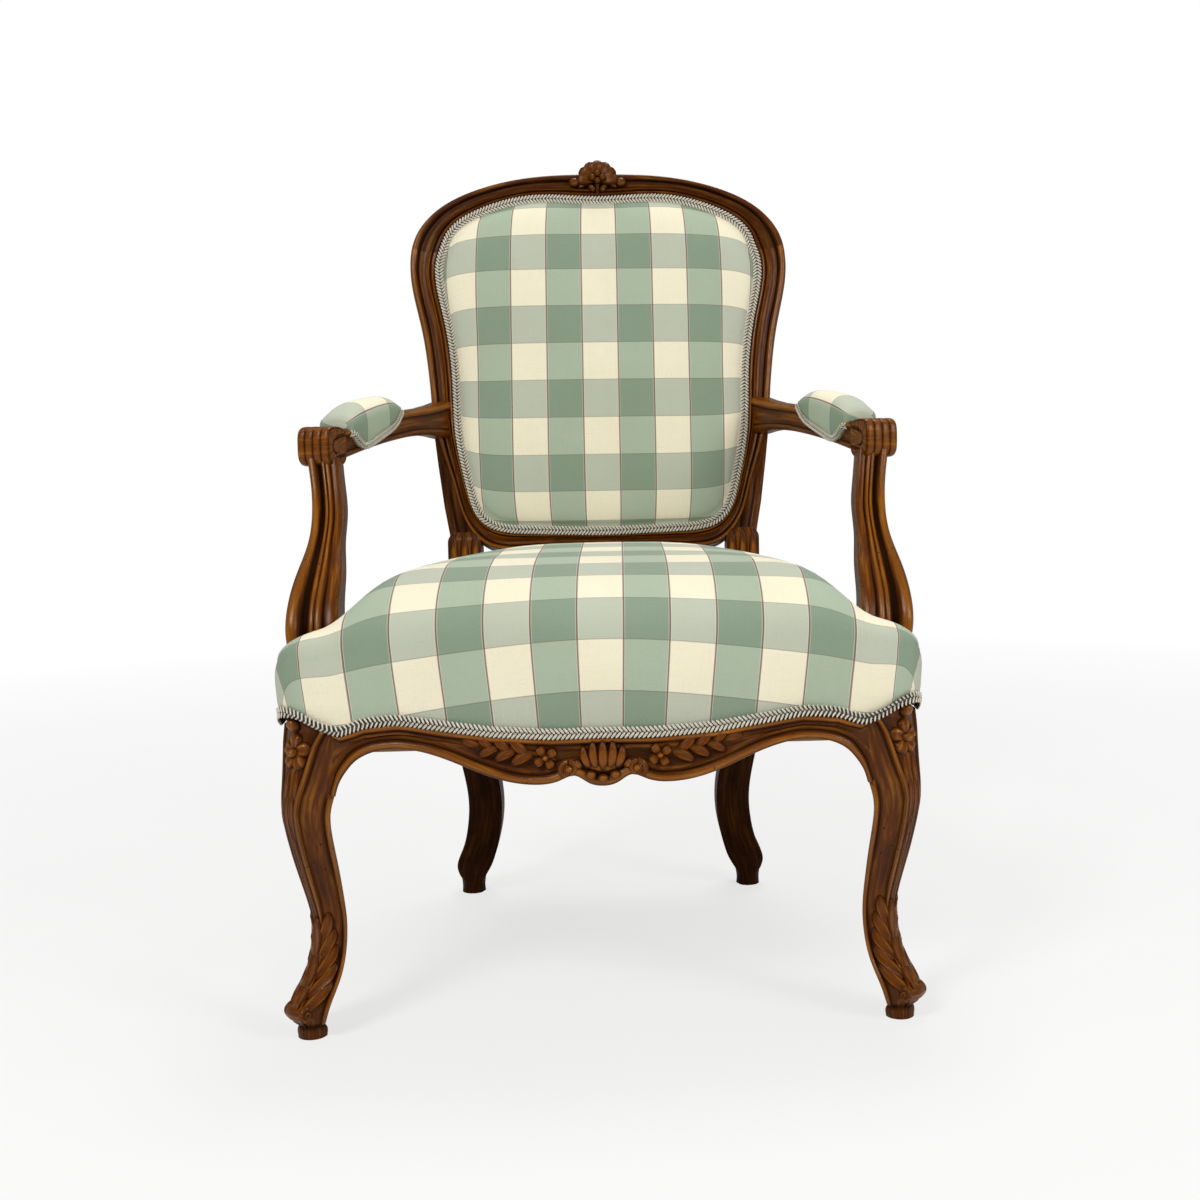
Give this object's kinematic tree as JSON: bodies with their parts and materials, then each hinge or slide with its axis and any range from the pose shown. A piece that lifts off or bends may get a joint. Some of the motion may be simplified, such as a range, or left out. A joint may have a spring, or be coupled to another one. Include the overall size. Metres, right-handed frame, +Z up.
{
  "type": "upholstered armchair",
  "caption": "Open armchair with a carved show-wood frame on curved legs, a domed seat, a padded raked back and padded arms in checked cloth edged with braid.",
  "frame": {"origin": "on the floor, under the middle of the chair's overall box", "axes": "+Z up, -Y the front of the chair, +X to the right as seen from the front"},
  "size_m": [0.6964, 0.6119, 0.9727],
  "materials": {
    "walnut": "waxed, worn edges, dark in the hollows",
    "beech": "bare sawn wood",
    "screw_steel": "plain",
    "tack_steel": "blued",
    "webbing": "woven jute",
    "hessian": "open woven jute",
    "stuffing": "curled hair under wadding",
    "check_cloth": "woven check, matt",
    "gimp": "looped braid"
  },
  "bodies": {
    "root": {"arm_dowels": "beech", "arm_left": "walnut", "arm_pad_cover_left": "check_cloth", "arm_pad_cover_right": "check_cloth", "arm_pad_gimp_left": "gimp", "arm_pad_gimp_right": "gimp", "arm_pad_stuffing_left": "stuffing", "arm_pad_stuffing_right": "stuffing", "arm_right": "walnut", "arm_support_left": "walnut", "arm_support_right": "walnut", "arm_support_screws": "screw_steel", "back_cover": "check_cloth", "back_frame_dowels": "beech", "back_gimp": "gimp", "back_stuffing": "stuffing", "back_webbing": "webbing", "corner_block_screws": "screw_steel", "crest_rail": "walnut", "front_corner_block_left": "beech", "front_corner_block_right": "beech", "front_leg_left": "walnut", "front_leg_right": "walnut", "front_seat_rail": "walnut", "lower_back_rail": "walnut", "outside_back_cover": "check_cloth", "outside_back_gimp": "gimp", "rear_corner_block_left": "beech", "rear_corner_block_right": "beech", "rear_post_left": "walnut", "rear_post_right": "walnut", "rear_seat_rail": "walnut", "seat_cover": "check_cloth", "seat_gimp": "gimp", "seat_hessian": "hessian", "seat_stuffing": "stuffing", "seat_webbing": "webbing", "side_seat_rail_left": "walnut", "side_seat_rail_right": "walnut", "webbing_tacks": "tack_steel"}
  },
  "joints": []
}
